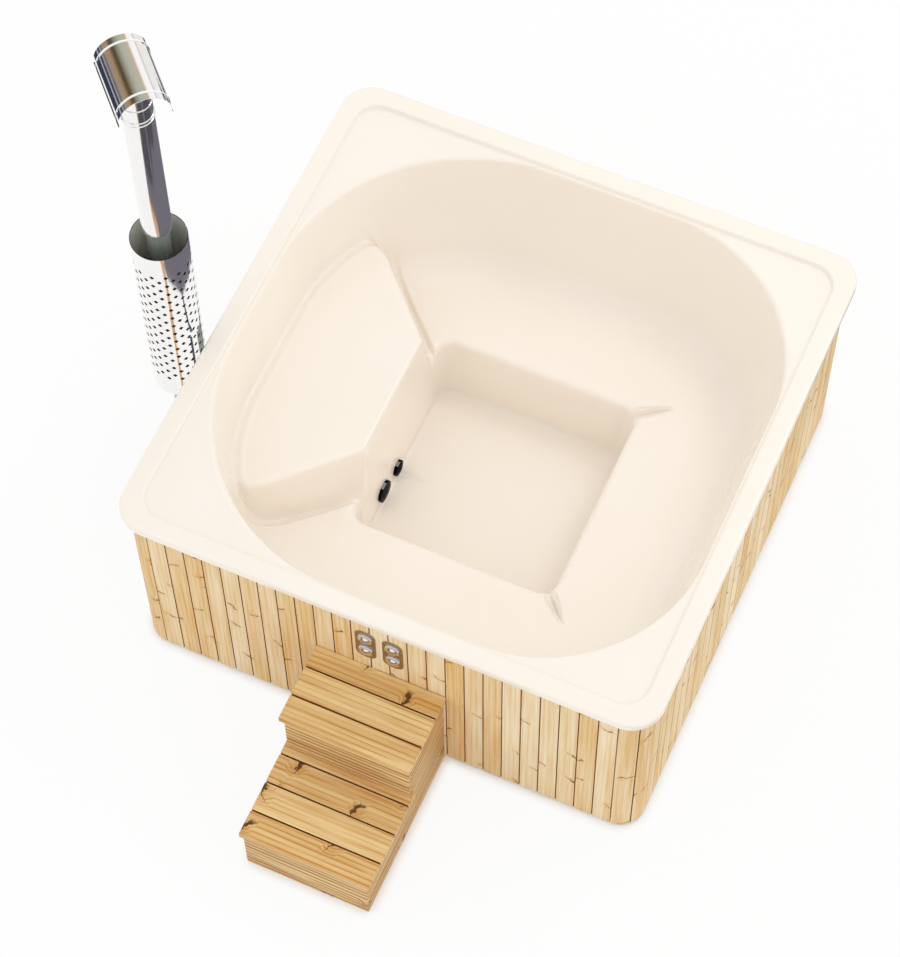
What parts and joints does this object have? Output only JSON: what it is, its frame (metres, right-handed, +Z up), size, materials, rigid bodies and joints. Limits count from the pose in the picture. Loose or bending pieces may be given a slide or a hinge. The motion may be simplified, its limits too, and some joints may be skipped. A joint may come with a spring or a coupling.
{
  "type": "wood-fired hot tub",
  "caption": "Square hot tub with a moulded shell, upright board cladding, a stove with a tall flue and rain cowl beside it, push buttons on the front and wooden steps.",
  "frame": {"origin": "on the ground under the middle of the tub, on the underside of the middle bearer", "axes": "+X to the right along the front with the steps, +Y to the back, +Z up"},
  "size_m": [2.2739, 2.628, 2.5005],
  "materials": {
    "moulded_shell": "glossy moulded acrylic",
    "cladding_wood": "planed spruce, clear oil",
    "frame_wood": "sawn treated timber",
    "step_wood": "planed pine, oiled",
    "flue_steel": "polished stainless sheet",
    "stove_steel": "heat-proof black paint",
    "jacket_steel": "welded stainless sheet",
    "grate_iron": "as cast",
    "handle_steel": "polished",
    "control_steel": "mirror polished",
    "nut_plastic": "moulded nylon",
    "fitting_plastic": "moulded black",
    "pipe_plastic": "extruded grey pipe",
    "valve_brass": "machined"
  },
  "bodies": {
    "tub": {"tub_shell": "moulded_shell", "cladding_front": "cladding_wood", "cladding_back": "cladding_wood", "cladding_right": "cladding_wood", "cladding_left": "cladding_wood", "corner_staves_front_left": "cladding_wood", "corner_staves_front_right": "cladding_wood", "corner_staves_back_left": "cladding_wood", "corner_staves_back_right": "cladding_wood", "base_bearers": "frame_wood", "rails_lower": "frame_wood", "rails_upper": "frame_wood", "corner_posts": "frame_wood", "bench_props": "frame_wood", "step_cleats": "frame_wood", "step_side_left": "step_wood", "step_side_right": "step_wood", "step_riser_lower": "step_wood", "step_riser_upper": "step_wood", "step_treads_lower": "step_wood", "step_treads_upper": "step_wood", "flue_pipe_lower": "flue_steel", "flue_pipe_upper": "flue_steel", "flue_reducer": "flue_steel", "heat_guard": "flue_steel", "guard_brackets": "flue_steel", "cowl_cap": "flue_steel", "cowl_straps": "flue_steel", "firebox": "stove_steel", "door_hinge_lugs": "stove_steel", "stove_feet": "stove_steel", "flue_collar": "stove_steel", "stove_jacket": "jacket_steel", "stove_surround": "jacket_steel", "fire_grate": "grate_iron", "control_plate_left": "control_steel", "control_plate_right": "control_steel", "button_housings": "control_steel", "button_nuts": "nut_plastic", "fitting_nuts": "nut_plastic", "suction_fitting": "fitting_plastic", "drain_fitting": "fitting_plastic", "feed_pipe": "pipe_plastic", "drain_pipe": "pipe_plastic", "drain_valve": "valve_brass"},
    "door": {"stove_door": "stove_steel", "door_handle": "handle_steel"},
    "drawer": {"ash_drawer": "stove_steel"},
    "lever": {"drain_lever": "handle_steel"},
    "upper_left_button": {"button_left_upper": "control_steel"},
    "lower_left_button": {"button_left_lower": "control_steel"},
    "upper_right_button": {"button_right_upper": "control_steel"},
    "lower_right_button": {"button_right_lower": "control_steel"}
  },
  "joints": [
    {"name": "door_swing", "type": "hinge", "parent": "tub", "child": "door", "pos_m": [-1.191, -0.39428, 0.24], "axis": [0, 0, 1], "range_deg": [0, 110]},
    {"name": "drawer_pull_out", "type": "slide", "parent": "tub", "child": "drawer", "axis": [-1, 0, 0], "range_m": [0, 0.36]},
    {"name": "lever_turn", "type": "hinge", "parent": "tub", "child": "lever", "pos_m": [-1.03716, -0.039, 0.11798], "axis": [-0.0379, 0, 0.9993], "range_deg": [0, 90]},
    {"name": "upper_left_button_press", "type": "slide", "parent": "tub", "child": "upper_left_button", "axis": [0, 1, 0], "range_m": [0, 0.004], "stiffness_N_per_m": 1500},
    {"name": "lower_left_button_press", "type": "slide", "parent": "tub", "child": "lower_left_button", "axis": [0, 1, 0], "range_m": [0, 0.004], "stiffness_N_per_m": 1500},
    {"name": "upper_right_button_press", "type": "slide", "parent": "tub", "child": "upper_right_button", "axis": [0, 1, 0], "range_m": [0, 0.004], "stiffness_N_per_m": 1500},
    {"name": "lower_right_button_press", "type": "slide", "parent": "tub", "child": "lower_right_button", "axis": [0, 1, 0], "range_m": [0, 0.004], "stiffness_N_per_m": 1500}
  ]
}
